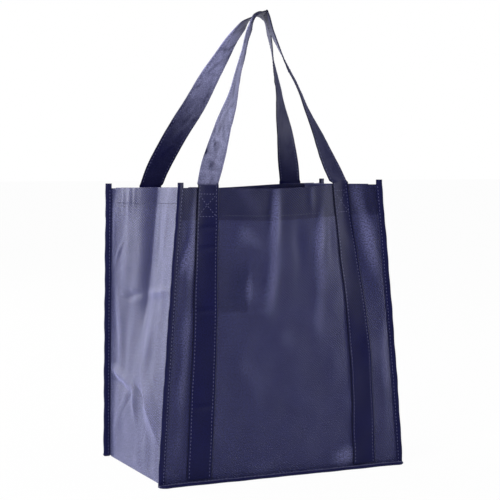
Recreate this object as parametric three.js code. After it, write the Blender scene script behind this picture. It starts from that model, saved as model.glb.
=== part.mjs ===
// Non-woven grocery tote: two panels, one gusset-and-base strip, bound seams, two long handles
// and a stiff base board. It stands on the floor at z = 0, with its front panel facing -Y.
import * as THREE from 'three';

const { clamp, degToRad, lerp, smoothstep } = THREE.MathUtils;

// Overall sizes, in millimetres
const bagWidth = 305;
const bagDepth = 192;
const bagHeight = 343;

// Cloth, and the clearance that every two touching layers keep
const cloth = 0.6;
const layerGap = 0.3;
const layerPitch = cloth + layerGap;

// Hems folded to the inside of the mouth
const panelHem = 37;
const gussetHem = 24;
const hemInset = 9;

// Seams: both edges stand outward as a flange, inside a folded binding tape
const seamAllowance = 7;
const bindingStart = 1.5;
const hornHeight = 6;
const bindingFold = 1.5 * layerPitch;
const seamHeight = cloth / 2 + bindingFold;
const flangeTurnAtBase = degToRad(8);
const flangeTurnAtRim = degToRad(26);
const cornerRun = 6;

// Handles, each one long strap sewn up the panel from the base seam
const strapWidth = 31;
const strapThickness = 1.4;
const handleSpacing = 218;
const handleShift = -2;
const handleRise = 215;
const strapOffset = cloth / 2 + layerGap + strapThickness / 2;
const apexTurn = degToRad(58);
const apexLean = 12;
const apexClearance = 0.5;
const strapStand = 3;

// Base board, and the strip beside each base seam where the base cloth climbs to the seam
const boardThickness = 2;
const boardInset = 7;
const boardCorner = 6;
const baseClimb = 5;

// How the empty bag hangs: the handles draw its mouth in, and the gussets fold inward
const panelBelly = 6;
const rimDip = 3.5;
const gussetBelly = 4;
const rippleHeight = 1.6;

// Corners of the base: side and face are -1 or 1, and rimShift is how far the mouth leans in there
const frontLeft = { side: -1, face: -1, rimShift: [22, -4], rimLift: 1 };
const frontRight = { side: 1, face: -1, rimShift: [-10.5, 37], rimLift: 3 };
const backLeft = { side: -1, face: 1, rimShift: [1, -12], rimLift: -2 };
const backRight = { side: 1, face: 1, rimShift: [-12.5, -10], rimLift: 3 };

// Panels, each with the two places where its handle pulls the mouth, by shares of the width:
// depth is how far it pulls the cloth into the bag there, and draw how far towards the right
const front = {
  face: -1,
  left: frontLeft,
  right: frontRight,
  pulls: [
    { from: 0, peak: 0.14, to: 0.42, depth: 8, draw: -2 },
    { from: 0.68, peak: 0.89, to: 1, depth: 16, draw: -6 },
  ],
};
const back = {
  face: 1,
  left: backLeft,
  right: backRight,
  pulls: [
    { from: 0, peak: 0.1, to: 0.4, depth: 12, draw: 8 },
    { from: 0.55, peak: 0.82, to: 1, depth: 8, draw: -4 },
  ],
};
const leftGusset = { side: -1, front: frontLeft, back: backLeft, creaseShare: 0.5 };
const rightGusset = { side: 1, front: frontRight, back: backRight, creaseShare: 0.95 };

const up = new THREE.Vector3(0, 0, 1);
const down = new THREE.Vector3(0, 0, -1);

// A smooth hump of height 1 at its centre, down to 0 at its reach on both sides
function hump(value, centre, reach) {
  const away = Math.abs(value - centre) / reach;
  return away < 1 ? Math.cos((away * Math.PI) / 2) ** 2 : 0;
}

// A smooth rise from one value to a peak of height 1, and down again to a third value
function crest(value, { from, peak, to }) {
  return hump(value, peak, value < peak ? peak - from : to - peak);
}

// Evenly spaced values from one end to the other, both included
function spaced(from, to, steps) {
  return Array.from({ length: steps + 1 }, (_, index) => lerp(from, to, index / steps));
}

// A closed sheet of cloth around a grid of points on its middle surface.
// Cells that isCloth leaves out are open, and the cloth is closed along their edges.
function sheet(grid, thickness, isCloth = () => true) {
  const rows = grid.length;
  const columns = grid[0].length;
  const present = (row, column) =>
    row >= 0 && column >= 0 && row < rows - 1 && column < columns - 1 && isCloth(row, column);
  const cellNormal = (row, column) => {
    const along = grid[row + 1][column + 1].clone().sub(grid[row][column]);
    const across = grid[row + 1][column].clone().sub(grid[row][column + 1]);
    return along.cross(across).normalize();
  };
  const positions = [];
  const sideCount = rows * columns;
  for (const sign of [1, -1]) {
    for (let row = 0; row < rows; row += 1) {
      for (let column = 0; column < columns; column += 1) {
        const normals = [];
        for (const [r, c] of [[row, column], [row - 1, column], [row, column - 1], [row - 1, column - 1]]) {
          if (present(r, c)) normals.push(cellNormal(r, c));
        }
        const normal = normals.reduce((sum, each) => sum.add(each), new THREE.Vector3()).normalize();
        const spread = normals.reduce((sum, each) => sum + each.dot(normal), 0) / (normals.length || 1);
        const half = thickness / 2 / Math.max(spread, 0.7);
        positions.push(...grid[row][column].clone().addScaledVector(normal, sign * half).toArray());
      }
    }
  }
  const indices = [];
  const top = (row, column) => row * columns + column;
  const quad = (a, b, c, d) => indices.push(a, b, c, a, c, d);
  const wall = (a, b) => quad(b, a, a + sideCount, b + sideCount);
  for (let row = 0; row < rows - 1; row += 1) {
    for (let column = 0; column < columns - 1; column += 1) {
      if (!present(row, column)) continue;
      const a = top(row, column);
      const b = top(row, column + 1);
      const c = top(row + 1, column + 1);
      const d = top(row + 1, column);
      quad(a, b, c, d);
      quad(d + sideCount, c + sideCount, b + sideCount, a + sideCount);
      if (!present(row - 1, column)) wall(a, b);
      if (!present(row, column + 1)) wall(b, c);
      if (!present(row + 1, column)) wall(c, d);
      if (!present(row, column - 1)) wall(d, a);
    }
  }
  const geometry = new THREE.BufferGeometry();
  geometry.setAttribute('position', new THREE.Float32BufferAttribute(positions, 3));
  geometry.setIndex(indices);
  return geometry;
}

// A point of a corner's upright seam, between its two layers, at a share of the height
function seamPoint(corner, rise) {
  const lean = rise ** 1.15;
  return new THREE.Vector3(
    (corner.side * bagWidth) / 2 + corner.rimShift[0] * lean,
    (corner.face * bagDepth) / 2 + corner.rimShift[1] * lean,
    lerp(seamHeight, bagHeight + corner.rimLift * lean - bindingFold, rise),
  );
}

// Which way the flange stands out at a corner, and which way its gusset side faces
function flangeFrame(corner, rise) {
  const turn = lerp(flangeTurnAtBase, flangeTurnAtRim, rise);
  return {
    out: new THREE.Vector3(corner.side * Math.cos(turn), corner.face * Math.sin(turn), 0),
    gussetWard: new THREE.Vector3(corner.side * Math.sin(turn), -corner.face * Math.cos(turn), 0),
  };
}

// Strap centres across a panel, and the columns of each strap, as shares of the panel's width
const strapShares = [-1, 1].map(
  (side) => 0.5 + (handleShift + (side * handleSpacing) / 2) / bagWidth,
);
const strapColumns = spaced(-0.5, 0.5, 4).map((column) => (column * strapWidth) / bagWidth);

// Heights of the rows of every upright sheet, as shares of the bag's height
const wallRises = spaced(0, 1, 12);

// The middle surface of a panel's cloth, by shares across and up
function panelPoint(panel, across, rise) {
  const left = seamPoint(panel.left, rise);
  const right = seamPoint(panel.right, rise);
  const rightward = right.clone().sub(left).setZ(0).normalize();
  const inward = rightward.clone().cross(up).multiplyScalar(panel.face);
  const mouth = smoothstep(rise, 0.35, 1);
  const pull = mouth * panel.pulls.reduce((sum, each) => sum + each.depth * crest(across, each), 0);
  const draw = mouth * panel.pulls.reduce((sum, each) => sum + each.draw * crest(across, each), 0);
  const belly = panelBelly * Math.sin(Math.PI * rise) * hump(across, 0.6, 0.6);
  const ripples = rippleHeight * rise ** 5 * Math.sin(across * 6 * Math.PI) * hump(across, 0.5, 0.32);
  const point = left.lerp(right, across)
    .addScaledVector(rightward, draw)
    .addScaledVector(inward, pull - belly + ripples);
  point.z -= rimDip * mouth * hump(across, 0.45, 0.45);
  return point.addScaledVector(inward, -layerPitch / 2);
}

// A point beside a surface, a distance out along its normal on the side that outward gives
function beside(surface, across, rise, distance, outward) {
  const step = 0.004;
  const low = Math.min(rise, 1 - step);
  const alongWidth = surface(across + step, rise).sub(surface(across - step, rise));
  const alongHeight = surface(across, low + step).sub(surface(across, low - step));
  const normal = alongWidth.cross(alongHeight).normalize();
  if (normal.dot(outward) < 0) normal.negate();
  return surface(across, rise).addScaledVector(normal, distance);
}

// Heights of the rows of a folded hem, as offsets inward and up from the rim
function hemRows(depth) {
  const radius = layerPitch / 2;
  const fold = spaced(45, 180, 3).map(degToRad).map((angle) => ({
    inward: radius * (1 - Math.cos(angle)),
    lift: radius * Math.sin(angle),
  }));
  const lining = spaced(0, -depth, 4).slice(1).map((lift) => ({ inward: layerPitch, lift }));
  return [...fold, ...lining];
}

// Shares across a sheet: both ends, some narrow steps beside each end, and the shares between
function withEnds(steps, between) {
  return [0, ...steps, ...between, ...steps.map((step) => 1 - step).reverse(), 1];
}

// Whether a grid column lies between two shares that both keep clear of the seams
function isWithin(shares, column, inset) {
  const nearly = 1e-6;
  return shares[column - 1] > inset - nearly && shares[column] < 1 - inset + nearly;
}

// A panel: flange edges at its sides and foot, the wall, and the hem turned down inside the mouth
function panelGeometry(panel) {
  const surface = (across, rise) => panelPoint(panel, across, rise);
  const outward = new THREE.Vector3(0, panel.face, 0);
  const inset = hemInset / bagWidth;
  const underStraps = strapShares.map((share) => strapColumns.map((column) => share + column));
  const shares = withEnds(
    [cornerRun / 4 / bagWidth, cornerRun / bagWidth, inset],
    [
      ...underStraps[0],
      ...spaced(underStraps[0].at(-1), underStraps[1][0], 10).slice(1, -1),
      ...underStraps[1],
    ],
  );
  const seamLayer = (corner, rise, reach) => {
    const { out, gussetWard } = flangeFrame(corner, rise);
    return seamPoint(corner, rise)
      .addScaledVector(out, reach)
      .addScaledVector(gussetWard, -layerPitch / 2);
  };
  const wallRow = (rise) => [
    seamLayer(panel.left, rise, seamAllowance),
    seamLayer(panel.left, rise, 0),
    ...shares.slice(1, -1).map((across) => surface(across, rise)),
    seamLayer(panel.right, rise, 0),
    seamLayer(panel.right, rise, seamAllowance),
  ];
  const lift = up.clone().multiplyScalar(layerPitch / 2);
  const seamRow = wallRow(0).map((point) => point.add(lift));
  const footTurn = (across) => {
    const side = across < 0.5 ? -1 : 1;
    const along = Math.min(across, 1 - across) * bagWidth;
    const angle = degToRad(lerp(48, 90, clamp(along / cornerRun, 0, 1)));
    return new THREE.Vector3(side * Math.cos(angle), panel.face * Math.sin(angle), 0);
  };
  const footRow = seamRow.map((point, index) => {
    if (index === 0 || index === seamRow.length - 1) {
      const corner = index === 0 ? panel.left : panel.right;
      const angle = degToRad(24);
      const out = new THREE.Vector3(corner.side * Math.cos(angle), panel.face * Math.sin(angle), 0);
      return seamRow[index === 0 ? 1 : index - 1].clone().addScaledVector(out, seamAllowance);
    }
    return point.clone().addScaledVector(footTurn(shares[index - 1]), seamAllowance);
  });
  const rises = wallRises.slice(1);
  const hem = hemRows(panelHem).map(({ inward, lift: rowLift }) =>
    [0, ...shares, 1].map((across) => {
      const rise = 1 + Math.min(rowLift, 0) / bagHeight;
      const point = beside(surface, across, rise, -inward, outward);
      point.z += Math.max(rowLift, 0);
      return point;
    }),
  );
  const grid = [footRow, seamRow, ...rises.map(wallRow), ...hem];
  const rimRow = 1 + rises.length;
  const isCloth = (row, column) => row < rimRow || isWithin(shares, column, inset);
  return sheet(grid, cloth, isCloth);
}

// The middle surface of a gusset's cloth, by shares from front to back and up
function gussetPoint(gusset, across, rise) {
  const layer = (corner) =>
    seamPoint(corner, rise).addScaledVector(flangeFrame(corner, rise).gussetWard, layerPitch / 2);
  const start = layer(gusset.front);
  const end = layer(gusset.back);
  const inward = end.clone().sub(start).setZ(0);
  const halfChord = inward.length() / 2;
  inward.normalize().cross(up).multiplyScalar(-gusset.side);
  const height = rise * bagHeight;
  const creaseFoot = bagDepth / 2;
  const ramp = smoothstep(height, creaseFoot * 0.6, bagHeight * 0.75);
  const slack = Math.sqrt(Math.max((bagDepth / 2) ** 2 - halfChord ** 2, 0));
  const tent = (1 - Math.abs(2 * across - 1)) ** 1.25;
  const belly = gussetBelly * tent * clamp(1 - Math.abs(height / creaseFoot - 1), 0, 1);
  const inset = gusset.creaseShare * slack * ramp * tent - belly;
  return start.lerp(end, across).addScaledVector(inward, inset);
}

// Height of the base cloth's middle: on the floor, and climbing to the seams at front and back
function baseHeight(y) {
  const fromSeam = bagDepth / 2 - Math.abs(y);
  return lerp(cloth / 2, cloth / 2 + layerPitch, 1 - smoothstep(fromSeam, 0, baseClimb));
}

// Left gusset, base and right gusset, cut as one strip and hemmed at both ends
function gussetStripGeometry() {
  const inset = hemInset / bagDepth;
  const shares = withEnds([baseClimb / bagDepth], spaced(inset, 1 - inset, 10));
  const wallRow = (gusset, rise) => {
    const flangeEdge = (corner) => {
      const { out, gussetWard } = flangeFrame(corner, rise);
      return seamPoint(corner, rise)
        .addScaledVector(out, seamAllowance)
        .addScaledVector(gussetWard, layerPitch / 2);
    };
    const middle = shares.map((across) => gussetPoint(gusset, across, rise));
    return [flangeEdge(gusset.front), ...middle, flangeEdge(gusset.back)];
  };
  const baseRow = (x, flangeEdge) => {
    const edge = bagDepth / 2 - layerPitch / 2;
    const middle = shares.map((across) => {
      const y = lerp(-edge, edge, across);
      return new THREE.Vector3(x, y, baseHeight(y));
    });
    return [flangeEdge(-1), ...middle, flangeEdge(1)];
  };
  const turnedRow = (x, angle) =>
    baseRow(x, (face) =>
      new THREE.Vector3(
        x + Math.sign(x) * Math.cos(angle) * seamAllowance,
        (face * bagDepth) / 2 + face * Math.sin(angle) * seamAllowance,
        seamHeight - layerPitch / 2,
      ),
    );
  const foldRow = (gusset) =>
    baseRow((gusset.side * bagWidth) / 2, (face) => {
      const corner = face < 0 ? gusset.front : gusset.back;
      const { out, gussetWard } = flangeFrame(corner, 0);
      return seamPoint(corner, 0)
        .addScaledVector(out, seamAllowance)
        .addScaledVector(gussetWard.add(down), layerPitch / 2);
    });
  const hem = (gusset) =>
    hemRows(gussetHem).map(({ inward, lift }) => {
      const surface = (across, rise) => gussetPoint(gusset, across, rise);
      const outward = new THREE.Vector3(gusset.side, 0, 0);
      const row = shares.map((across) => {
        const rise = 1 + Math.min(lift, 0) / bagHeight;
        const point = beside(surface, across, rise, -inward, outward);
        point.z += Math.max(lift, 0);
        return point;
      });
      return [row[0].clone(), ...row, row[row.length - 1].clone()];
    });
  const rises = wallRises.slice(1);
  const halfWidth = bagWidth / 2;
  const baseSpan = halfWidth - cornerRun;
  const cornerRows = (gusset) => [
    foldRow(gusset),
    turnedRow(gusset.side * (halfWidth - cornerRun / 4), degToRad(52)),
    turnedRow(gusset.side * baseSpan, Math.PI / 2),
  ];
  const grid = [
    ...hem(leftGusset).reverse(),
    ...rises.toReversed().map((rise) => wallRow(leftGusset, rise)),
    ...cornerRows(leftGusset),
    ...spaced(-baseSpan, baseSpan, 8).slice(1, -1).map((x) => turnedRow(x, Math.PI / 2)),
    ...cornerRows(rightGusset).reverse(),
    ...rises.map((rise) => wallRow(rightGusset, rise)),
    ...hem(rightGusset),
  ];
  const hemCount = hemRows(gussetHem).length;
  const isCloth = (row, column) =>
    (row >= hemCount && row < grid.length - 1 - hemCount) || isWithin(shares, column, inset);
  return sheet(grid, cloth, isCloth);
}

// The binding tape of one face: folded round the flange, up one side, along the foot, up the other
function bindingGeometry(panel) {
  const section = [
    { reach: bindingStart, offset: -bindingFold },
    ...spaced(-90, 90, 4).map(degToRad).map((angle) => ({
      reach: seamAllowance + bindingFold * Math.cos(angle),
      offset: bindingFold * Math.sin(angle),
    })),
    { reach: bindingStart, offset: bindingFold },
  ];
  const row = (seam, out, gussetWard) =>
    section.map(({ reach, offset }) =>
      seam.clone().addScaledVector(out, reach).addScaledVector(gussetWard, offset),
    );
  const upright = (corner) => {
    const horn = flangeFrame(corner, 1);
    const top = seamPoint(corner, 1).addScaledVector(up, hornHeight);
    const rows = wallRises.slice(1).reverse().map((rise) => {
      const { out, gussetWard } = flangeFrame(corner, rise);
      return row(seamPoint(corner, rise), out, gussetWard);
    });
    return [row(top, horn.out, horn.gussetWard), ...rows];
  };
  const cornerFan = (corner) => {
    const { out, gussetWard } = flangeFrame(corner, 0);
    const seam = seamPoint(corner, 0);
    const mitre = row(seam, out, gussetWard.clone().add(down));
    const centre = seam.clone().add(new THREE.Vector3(0, corner.face * bindingFold, 0));
    const fan = spaced(flangeTurnAtBase, Math.PI / 2, 4).slice(1).map((angle) => {
      const direction = new THREE.Vector3(corner.side * Math.cos(angle), corner.face * Math.sin(angle), 0);
      return row(centre, direction, down);
    });
    return [mitre, ...fan];
  };
  const footOut = new THREE.Vector3(0, panel.face, 0);
  const left = seamPoint(panel.left, 0);
  const right = seamPoint(panel.right, 0);
  const foot = spaced(0, 1, 8).slice(1, -1).map((share) => row(left.clone().lerp(right, share), footOut, down));
  const grid = [
    ...upright(panel.left),
    ...cornerFan(panel.left),
    ...foot,
    ...cornerFan(panel.right).reverse(),
    ...upright(panel.right).reverse(),
  ];
  return sheet(grid, cloth);
}

// One handle: a flat strap up the panel, over in a tall loop held together at the top, and down again.
// lean is how early each leg draws to the middle, and turn the shares of the climb between which
// it turns from lying against the panel towards the other leg.
function handleGeometry(panel, { apexRadius, legs }) {
  const surface = (across, rise) => panelPoint(panel, across, rise);
  const outward = new THREE.Vector3(0, panel.face, 0);
  const footRise = (2 * bindingFold + layerPitch + layerGap) / bagHeight;
  const sewnRow = (share, rise) =>
    strapColumns.map((column) => beside(surface, share + column, rise, strapOffset, outward));
  const sewn = strapShares.map((share) => {
    const rows = [footRise, ...wallRises.slice(1)].map((rise) => sewnRow(share, rise));
    const stand = sewnRow(share, 1).map((point) => point.addScaledVector(up, strapStand));
    return [...rows, stand];
  });
  const widthAxis = new THREE.Vector3(Math.cos(apexTurn), Math.sin(apexTurn), 0);
  const crossAxis = new THREE.Vector3(Math.sin(apexTurn), -Math.cos(apexTurn), 0);
  const apex = new THREE.Vector3(apexLean, 0, bagHeight + handleRise)
    .addScaledVector(widthAxis, panel.face * (strapWidth / 2 + apexClearance));
  const starts = sewn.map((rows) => rows[rows.length - 1]);
  const shoulder = (side) =>
    apex.clone().addScaledVector(crossAxis, side * apexRadius).addScaledVector(down, apexRadius * 0.8);
  const legPoint = (index, climb) => {
    const start = starts[index][2];
    const end = shoulder(index === 0 ? -1 : 1);
    const share = climb ** legs[index].lean;
    return new THREE.Vector3(
      lerp(start.x, end.x, share),
      lerp(start.y, end.y, climb),
      lerp(start.z, end.z, climb),
    );
  };
  const climbs = [0, 0.08, 0.25, 0.5, 0.75, 1];
  const curve = new THREE.CatmullRomCurve3(
    [
      ...climbs.map((climb) => legPoint(0, climb)),
      apex,
      ...climbs.toReversed().map((climb) => legPoint(1, climb)),
    ],
    false,
    'centripetal',
  );
  const startTurn = starts.map((row) => {
    const width = row[4].clone().sub(row[0]);
    return Math.atan2(width.y, width.x);
  });
  const loop = spaced(0, 1, 36).slice(1, -1).map((share) => {
    const centre = curve.getPoint(share);
    const tangent = curve.getTangent(share);
    const index = share < 0.5 ? 0 : 1;
    const climb = clamp((centre.z - starts[index][2].z) / (apex.z - starts[index][2].z), 0, 1);
    const turn = lerp(startTurn[index], apexTurn, smoothstep(climb, ...legs[index].turn));
    const width = new THREE.Vector3(Math.cos(turn), Math.sin(turn), 0);
    width.addScaledVector(tangent, -width.dot(tangent)).normalize();
    return strapColumns.map((column) => centre.clone().addScaledVector(width, column * bagWidth));
  });
  return sheet([...sewn[0], ...loop, ...sewn[1].toReversed()], strapThickness);
}

// The board that lies loose on the base cloth
function boardGeometry() {
  const halfWidth = bagWidth / 2 - boardInset;
  const halfDepth = bagDepth / 2 - boardInset;
  const outline = new THREE.Shape();
  outline.moveTo(-halfWidth + boardCorner, -halfDepth);
  for (const [x, y, angle] of [[1, -1, -90], [1, 1, 0], [-1, 1, 90], [-1, -1, 180]]) {
    const start = degToRad(angle);
    const centreX = x * (halfWidth - boardCorner);
    const centreY = y * (halfDepth - boardCorner);
    outline.absarc(centreX, centreY, boardCorner, start, start + Math.PI / 2, false);
  }
  const board = new THREE.ExtrudeGeometry(outline, {
    depth: boardThickness,
    bevelEnabled: false,
    curveSegments: 5,
  });
  return board.translate(0, 0, cloth + layerGap);
}

const frontLoop = {
  apexRadius: 5,
  legs: [{ lean: 0.95, turn: [-0.1, 0.8] }, { lean: 0.97, turn: [-0.1, 0.6] }],
};
const backLoop = {
  apexRadius: 12,
  legs: [{ lean: 1.25, turn: [0.4, 1.15] }, { lean: 1.1, turn: [-0.1, 0.75] }],
};

const navy = new THREE.MeshStandardMaterial({ color: '#35365a', roughness: 0.62, metalness: 0 });
const navyTape = new THREE.MeshStandardMaterial({ color: '#2a2b4a', roughness: 0.66, metalness: 0 });
const board = new THREE.MeshStandardMaterial({ color: '#24242c', roughness: 0.75, metalness: 0 });

const bag = new THREE.Group();

function add(name, geometry, material) {
  const mesh = new THREE.Mesh(geometry, material);
  mesh.name = name;
  bag.add(mesh);
}

add('front_panel', panelGeometry(front), navy);
add('back_panel', panelGeometry(back), navy);
add('gusset_strip', gussetStripGeometry(), navy);
add('front_binding', bindingGeometry(front), navyTape);
add('back_binding', bindingGeometry(back), navyTape);
add('front_handle', handleGeometry(front, frontLoop), navyTape);
add('back_handle', handleGeometry(back, backLoop), navyTape);
add('base_board', boardGeometry(), board);

export default bag;
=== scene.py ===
import math

import bpy
import numpy as np
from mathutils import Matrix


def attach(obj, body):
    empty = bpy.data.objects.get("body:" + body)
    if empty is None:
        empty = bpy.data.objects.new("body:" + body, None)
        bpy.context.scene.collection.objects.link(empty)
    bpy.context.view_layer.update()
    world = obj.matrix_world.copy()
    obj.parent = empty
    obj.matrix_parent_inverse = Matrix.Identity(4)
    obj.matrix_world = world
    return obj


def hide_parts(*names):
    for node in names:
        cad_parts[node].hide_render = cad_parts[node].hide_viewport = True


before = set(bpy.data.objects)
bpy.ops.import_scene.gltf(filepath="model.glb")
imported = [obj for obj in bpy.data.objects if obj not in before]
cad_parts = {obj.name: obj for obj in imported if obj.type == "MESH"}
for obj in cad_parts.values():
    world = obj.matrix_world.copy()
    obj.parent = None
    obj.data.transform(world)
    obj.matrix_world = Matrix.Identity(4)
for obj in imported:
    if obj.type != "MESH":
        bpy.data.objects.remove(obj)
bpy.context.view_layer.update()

# Sizes of the bag, in millimetres. Meshes are made in metres.
METRE = 1000
BAG_WIDTH = 305
BAG_DEPTH = 192
BAG_HEIGHT = 343

CLOTH = 0.6
LAYER_GAP = 0.3
LAYER_PITCH = CLOTH + LAYER_GAP
CELL = 2.2
MAP_STEP = 1.3
MITRE_LIMIT = 0.7
SHARP_FOLD = math.radians(52)

PANEL_HEM = 37
GUSSET_HEM = 24
HEM_INSET = 9

SEAM_ALLOWANCE = 7
BINDING_START = 1.5
BINDING_STEP = 4
HORN_HEIGHT = 6
BINDING_FOLD = 1.5 * LAYER_PITCH
SEAM_HEIGHT = CLOTH / 2 + BINDING_FOLD
CORNER_RUN = 6

# How far round the flanges stand, up the sides and where the foot's flange meets them
FLANGE_TURN_AT_BASE = math.radians(8)
FLANGE_TURN_AT_RIM = math.radians(26)
FOOT_TIP_TURN = math.radians(24)
FOOT_START_TURN = math.radians(48)
BASE_CORNER_TURN = math.radians(52)

STRAP_WIDTH = 31
STRAP_LENGTH = 1190
STRAP_THICKNESS = 1.4
HANDLE_SPACING = 218
HANDLE_SHIFT = -2
HANDLE_RISE = 212
STRAP_OFFSET = CLOTH / 2 + LAYER_GAP + STRAP_THICKNESS / 2
LEG_TURN = math.radians(58)
APEX_TURN = math.radians(76)
APEX_LEAN = 15
APEX_CLEARANCE = 0.5
APEX_DROP = 0.8
STRAP_STAND = 3
# Width of the painted shade along each edge of a strap
STRAP_EDGE_SHADE = 0.8

BASE_CLIMB = 5

# How far walls lie off the flat, and the power by which their lean grows toward the mouth
LEAN_POWER = 1.15
PANEL_BELLY = 6
RIM_DIP = 3.5
GUSSET_BELLY = 4
RIPPLE_HEIGHT = 1.6
RIPPLES = 3

# How far the gussets show the painted highlight of their folds and the darker cloth of their hems, where the
# panels show them in full
GUSSET_HIGHLIGHT = 0.4
GUSSET_LINED = 0.25

# Sewing thread, and how far its rows run from an edge
STITCH_LENGTH = 2.6
STITCH_PITCH = 4.2
THREAD = 0.8
PANEL_HEM_STITCH = 4
GUSSET_HEM_STITCH = 6.5
BOX_STITCH_EDGE = 2.4
BOX_STITCH_FOOT = 33
BOX_STITCH_TOP = 7
BOX_STITCH_STEPS = 14
BOX_STITCH_OFFSET = STRAP_OFFSET + STRAP_THICKNESS * 0.22

UP = np.array([0.0, 0.0, 1.0])

# Corners of the base: side and face are -1 or 1, shift is how far the mouth leans in there, and
# lift how much higher it stands
FRONT_LEFT = {"side": -1, "face": -1, "shift": (22, -4), "lift": 1}
FRONT_RIGHT = {"side": 1, "face": -1, "shift": (-10.5, 37), "lift": 3}
BACK_LEFT = {"side": -1, "face": 1, "shift": (1, -12), "lift": -2}
BACK_RIGHT = {"side": 1, "face": 1, "shift": (-12.5, -10), "lift": 3}

# Panels, with the pulls of their handles on the mouth as (from, peak, to, depth, draw), and a
# darker, duller patch of cloth, as (left, right, low, high)
FRONT = {
    "face": -1,
    "outward": np.array([0.0, -1.0, 0.0]),
    "left": FRONT_LEFT,
    "right": FRONT_RIGHT,
    "pulls": [(0, 0.14, 0.42, 8, -2), (0.68, 0.89, 1, 16, -6)],
    "dulled": (50, 99, 197, 250),
    "seed": 11,
}
BACK = {
    "face": 1,
    "outward": np.array([0.0, 1.0, 0.0]),
    "left": BACK_LEFT,
    "right": BACK_RIGHT,
    "pulls": [(0, 0.1, 0.4, 12, 8), (0.55, 0.82, 1, 8, -4)],
    "dulled": (210, 252, 120, 180),
    "seed": 23,
}
# Gussets: crease is how much of their slack folds inward, line how far back it runs at the foot
# and the rim, and roll how sharply the cloth behind it turns in near the rim
LEFT_GUSSET = {
    "side": -1,
    "outward": np.array([-1.0, 0.0, 0.0]),
    "corners": (FRONT_LEFT, BACK_LEFT),
    "crease": 0.55,
    "line": (0.568, 0.488),
    "roll": 0.9,
    "seed": 37,
}
RIGHT_GUSSET = {
    "side": 1,
    "outward": np.array([1.0, 0.0, 0.0]),
    "corners": (FRONT_RIGHT, BACK_RIGHT),
    "crease": 0.95,
    "line": (0.5, 0.5),
    "roll": 0.3,
    "seed": 51,
}

# Handle loops, with each leg's lean, its bow near the top, the climb over which it turns, where
# it twists on toward the top, and the climb over which its cloth gets a painted highlight, with how much
FRONT_LOOP = {
    "apex_radius": 5,
    "seed": 5,
    "legs": [
        {"lean": 1.08, "bow": 0.08, "turn": (0, 0.75), "twist": 0.93, "highlighted": (-0.4, 0.5, 1.05)},
        {"lean": 0.95, "bow": -0.06, "turn": (0, 0.55), "twist": 0.62, "highlighted": (0.2, 1, 0.1)},
    ],
}
BACK_LOOP = {
    "apex_radius": 8,
    "seed": 8,
    "legs": [
        {"lean": 1.25, "bow": 0.08, "turn": (0.4, 1.15), "twist": 0.93, "highlighted": (0.2, 0.9, 1.2)},
        {"lean": 1.1, "bow": 0.01, "turn": (0, 0.7), "twist": 0.62, "highlighted": (0.2, 1, 0.1)},
    ],
}


def lerp(start, end, share):
    return start + (end - start) * share


def smoothstep(value, low, high):
    share = np.clip((value - low) / (high - low), 0, 1)
    return share * share * (3 - 2 * share)


def hump(value, centre, reach):
    """A smooth hump of height 1 at its centre, down to 0 at its reach on both sides."""
    away = np.minimum(np.abs(value - centre) / reach, 1)
    return np.cos(away * math.pi / 2) ** 2


def crest(value, start, peak, end):
    return hump(value, peak, np.where(value < peak, max(peak - start, 1e-6), end - peak))


def unit(vectors):
    return vectors / np.linalg.norm(vectors, axis=-1, keepdims=True)


def spaced(start, end, step):
    """Values from one end to the other, both included, about a step apart."""
    return np.linspace(start, end, max(round(abs(end - start) / step), 1) + 1)


def along_line(x, z, start, end):
    """How far points lie along a line, as a share of it, and how far away from it."""
    run = np.subtract(end, start)
    length = math.hypot(*run)
    along = ((x - start[0]) * run[0] + (z - start[1]) * run[1]) / length**2
    away = ((x - start[0]) * run[1] - (z - start[1]) * run[0]) / length
    return along, away


def ridge(x, z, start, end, width, height):
    """A soft ridge along a line, which fades at both ends. A negative height makes a groove."""
    along, away = along_line(x, z, start, end)
    return height * np.exp(-((away / width) ** 2)) * hump(along, 0.5, 0.62)


def crease(x, z, start, end, width, height):
    """A sharp fold line, whose sides fall away evenly."""
    along, away = along_line(x, z, start, end)
    sides = np.maximum(1 - np.abs(away) / width, 0) ** 1.3
    return height * sides * hump(along, 0.5, 0.58)


def seam_point(corner, rise):
    """A point of a corner's upright seam, between its two layers, at a share of the height."""
    lean = rise**LEAN_POWER
    return np.array([
        corner["side"] * BAG_WIDTH / 2 + corner["shift"][0] * lean,
        corner["face"] * BAG_DEPTH / 2 + corner["shift"][1] * lean,
        lerp(SEAM_HEIGHT, BAG_HEIGHT + corner["lift"] * lean - BINDING_FOLD, rise),
    ])


def heading(corner, turn):
    """A level direction away from a corner, from sideways to straight out of its face."""
    return np.array([corner["side"] * math.cos(turn), corner["face"] * math.sin(turn), 0])


def flange_frame(corner, rise):
    """Which way the flange stands out at a corner, and which way its gusset side faces."""
    turn = lerp(FLANGE_TURN_AT_BASE, FLANGE_TURN_AT_RIM, rise)
    side, face = corner["side"], corner["face"]
    gusset_ward = np.array([side * math.sin(turn), -face * math.cos(turn), 0])
    return heading(corner, turn), gusset_ward


def seam_layer(corner, rise, reach, layer):
    """A point of a seam's cloth, a reach out from it: on the gusset's layer 1 or the panel's -1."""
    out, gusset_ward = flange_frame(corner, rise)
    return seam_point(corner, rise) + out * reach + gusset_ward * (layer * LAYER_PITCH / 2)


STRAP_SHARES = [0.5 + (HANDLE_SHIFT + side * HANDLE_SPACING / 2) / BAG_WIDTH for side in (-1, 1)]


def panel_width(panel, rise):
    """How far apart a panel's two side seams are at a share of its height."""
    return np.linalg.norm((seam_point(panel["right"], rise) - seam_point(panel["left"], rise))[:2])


# Directions of short creases


def any_way(random):
    return random.uniform(0, math.pi)


def lengthwise(random):
    return random.normal(math.pi / 2, 0.5)


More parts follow.
